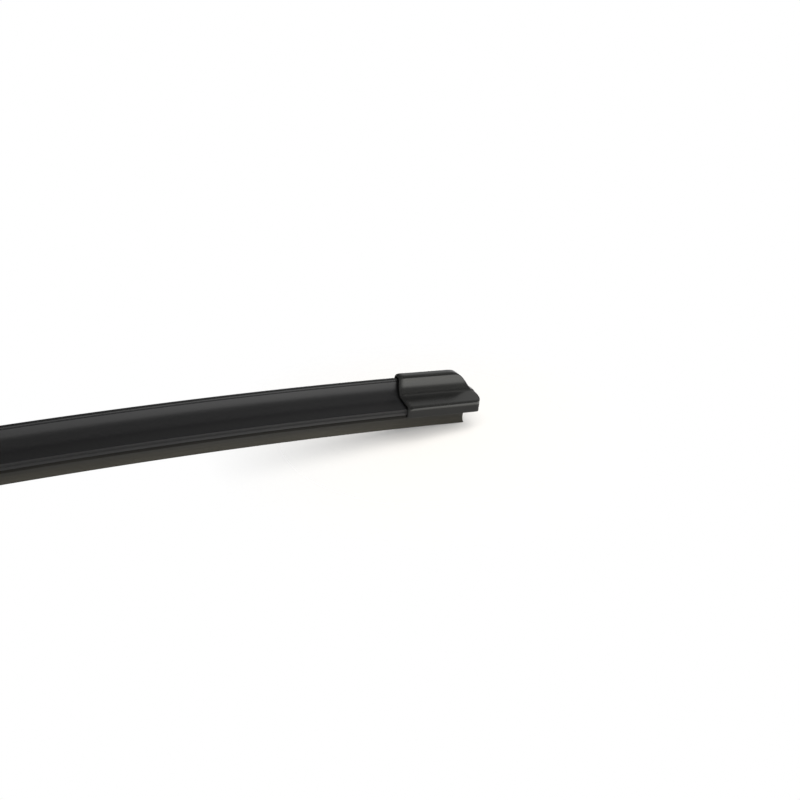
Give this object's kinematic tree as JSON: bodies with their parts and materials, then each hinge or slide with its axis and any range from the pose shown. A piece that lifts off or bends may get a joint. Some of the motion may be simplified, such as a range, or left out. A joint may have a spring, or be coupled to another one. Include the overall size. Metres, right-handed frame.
{
  "type": "wiper blade",
  "caption": "Bowed beam wiper blade: rubber squeegee on spring rails under a finned air deflector, with end caps and a middle connector for a hooked wiper arm.",
  "frame": {"origin": "centre of the connector's pivot, at the middle of the blade's length", "axes": "+X along the blade to the end that the arm's hook opens away from, -Y the side that the deflector's hollow face looks to, +Z away from the glass"},
  "size_m": [0.6014, 0.0212, 0.0499],
  "materials": {
    "wiping_rubber": "matt, faintly dusty",
    "spring_steel": "rolled",
    "deflector_black": "satin",
    "cap_black": "semi-gloss",
    "cast_metal": "dark coating",
    "pin_steel": "turned",
    "cover_black": "semi-gloss",
    "adapter_black": "satin"
  },
  "bodies": {
    "adapter": {"arm_adapter": "adapter_black"},
    "blade": {"rubber_element": "wiping_rubber", "rail_front": "spring_steel", "rail_rear": "spring_steel", "deflector_right": "deflector_black", "deflector_left": "deflector_black", "end_cap_right": "cap_black", "end_cap_left": "cap_black", "connector_base": "cast_metal", "pivot_pin": "pin_steel", "connector_cover": "cover_black"}
  },
  "joints": [
    {"name": "blade_rock", "type": "hinge", "parent": "adapter", "child": "blade", "pos_m": [0, 0, 0], "axis": [0, 1, 0], "range_deg": [-45, 15]}
  ]
}
